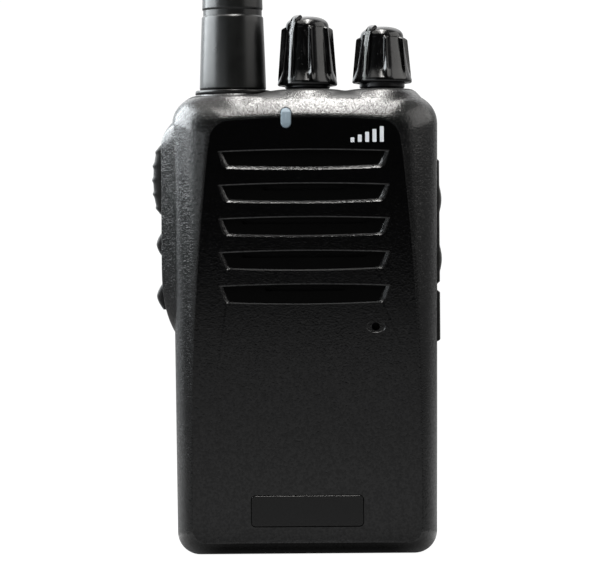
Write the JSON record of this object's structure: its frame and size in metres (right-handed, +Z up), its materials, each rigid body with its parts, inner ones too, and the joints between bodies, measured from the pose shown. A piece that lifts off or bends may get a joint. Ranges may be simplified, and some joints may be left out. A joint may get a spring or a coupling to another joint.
{
  "type": "portable two-way radio",
  "caption": "Hand-held two-way radio with turning knobs, push-to-talk bar, side keys, hinged jack cover, screw-in antenna, tilting battery pack and sprung belt clip.",
  "frame": {"origin": "centre of the flat base that the radio stands on, at the middle of its width and of its depth without the clip", "axes": "+X to the right as the user faces the speaker, +Y from the speaker to the battery, +Z up along the antenna"},
  "size_m": [0.0639, 0.0402, 0.198],
  "materials": {
    "case_plastic": "fine spark-eroded grain",
    "gloss_plastic": "polished",
    "black_rubber": "matte",
    "antenna_rubber": "satin",
    "lens": "frosted",
    "plate": "fine satin",
    "cast_metal": "as cast",
    "steel": "plated",
    "brass": "bright",
    "board": "solder mask",
    "net_cloth": "woven",
    "cone_paper": "paper",
    "cell_can": "wrapped can"
  },
  "bodies": {
    "case": {"front_case": "case_plastic", "led_lens": "lens", "indicator_led": "board", "name_plate": "plate", "speaker_net": "net_cloth", "speaker_gasket": "black_rubber", "speaker_frame": "steel", "speaker_cone": "cone_paper", "microphone_boot": "black_rubber", "microphone": "cast_metal", "chassis": "cast_metal", "chassis_gasket": "black_rubber", "case_screw_left": "steel", "case_screw_right": "steel", "main_board": "board", "rf_shield": "steel", "radio_terminals": "brass", "side_switch_board": "board", "ptt_switch": "steel", "upper_key_switch": "steel", "lower_key_switch": "steel", "volume_control": "steel", "volume_nut": "steel", "channel_switch": "steel", "channel_nut": "steel", "antenna_socket": "brass", "jack_block": "gloss_plastic", "jack_cover_anchor": "black_rubber", "jack_cover_screw": "steel", "rear_cover": "case_plastic", "rear_screw_left": "steel", "rear_screw_right": "steel"},
    "volume": {"volume_knob": "gloss_plastic", "volume_shaft": "steel"},
    "channel": {"channel_knob": "gloss_plastic", "channel_shaft": "steel"},
    "antenna_washer": {"antenna_washer": "black_rubber"},
    "antenna": {"antenna_sheath": "antenna_rubber", "antenna_plug": "brass", "antenna_coil": "brass"},
    "ptt": {"ptt_button": "black_rubber"},
    "upper_key": {"upper_side_key": "black_rubber"},
    "lower_key": {"lower_side_key": "black_rubber"},
    "jack_cover": {"jack_cover": "black_rubber"},
    "battery": {"battery_tray": "case_plastic", "battery_cover": "case_plastic", "battery_cell_left": "cell_can", "battery_cell_right": "cell_can", "battery_board": "board", "battery_terminals": "brass", "latch_spring": "steel", "clip_bracket": "gloss_plastic", "clip_screw_left": "steel", "clip_screw_right": "steel", "clip_pin": "steel", "clip_spring": "steel"},
    "latch": {"battery_latch": "gloss_plastic"},
    "clip": {"clip_arm": "gloss_plastic"}
  },
  "joints": [
    {"name": "volume_turn", "type": "hinge", "parent": "case", "child": "volume", "pos_m": [0.0007, -0.005, 0.1022], "axis": [0, 0, -1], "range_deg": [0, 286]},
    {"name": "channel_turn", "type": "hinge", "parent": "case", "child": "channel", "pos_m": [0.0172, -0.005, 0.1022], "axis": [0, 0, -1], "range_deg": [0, 337.5]},
    {"name": "antenna_rise", "type": "slide", "parent": "case", "child": "antenna_washer", "axis": [0, 0, 1], "range_m": [0, 0.00388]},
    {"name": "antenna_turn", "type": "hinge", "parent": "antenna_washer", "child": "antenna", "pos_m": [-0.0158, -0.005, 0.1022], "axis": [0, 0, 1], "range_deg": [0, 1980]},
    {"name": "ptt_press", "type": "slide", "parent": "case", "child": "ptt", "axis": [1, 0, 0], "range_m": [0, 0.001], "stiffness_N_per_m": 2500},
    {"name": "upper_key_press", "type": "slide", "parent": "case", "child": "upper_key", "axis": [1, 0, 0], "range_m": [0, 0.0008], "stiffness_N_per_m": 2500},
    {"name": "lower_key_press", "type": "slide", "parent": "case", "child": "lower_key", "axis": [1, 0, 0], "range_m": [0, 0.0008], "stiffness_N_per_m": 2500},
    {"name": "jack_cover_open", "type": "hinge", "parent": "case", "child": "jack_cover", "pos_m": [0.02843, -0.0049, 0.0585], "axis": [0, 1, 0], "range_deg": [0, 90], "stiffness_Nm_per_rad": 0.0006},
    {"name": "battery_tilt", "type": "hinge", "parent": "case", "child": "battery", "pos_m": [0, 0.014, 0.084], "axis": [1, 0, 0], "range_deg": [0, 30]},
    {"name": "latch_slide", "type": "slide", "parent": "battery", "child": "latch", "axis": [0, 1, 0], "range_m": [0, 0.002], "stiffness_N_per_m": 600, "deforming": ["latch_spring"]},
    {"name": "clip_open", "type": "hinge", "parent": "battery", "child": "clip", "pos_m": [0, 0.0212, 0.068], "axis": [1, 0, 0], "range_deg": [0, 12], "stiffness_Nm_per_rad": 0.4, "deforming": ["clip_spring"]}
  ],
  "couplings": [
    {"joint": "antenna_turn", "follows": "antenna_rise", "rad_per_m": 8904.7}
  ]
}
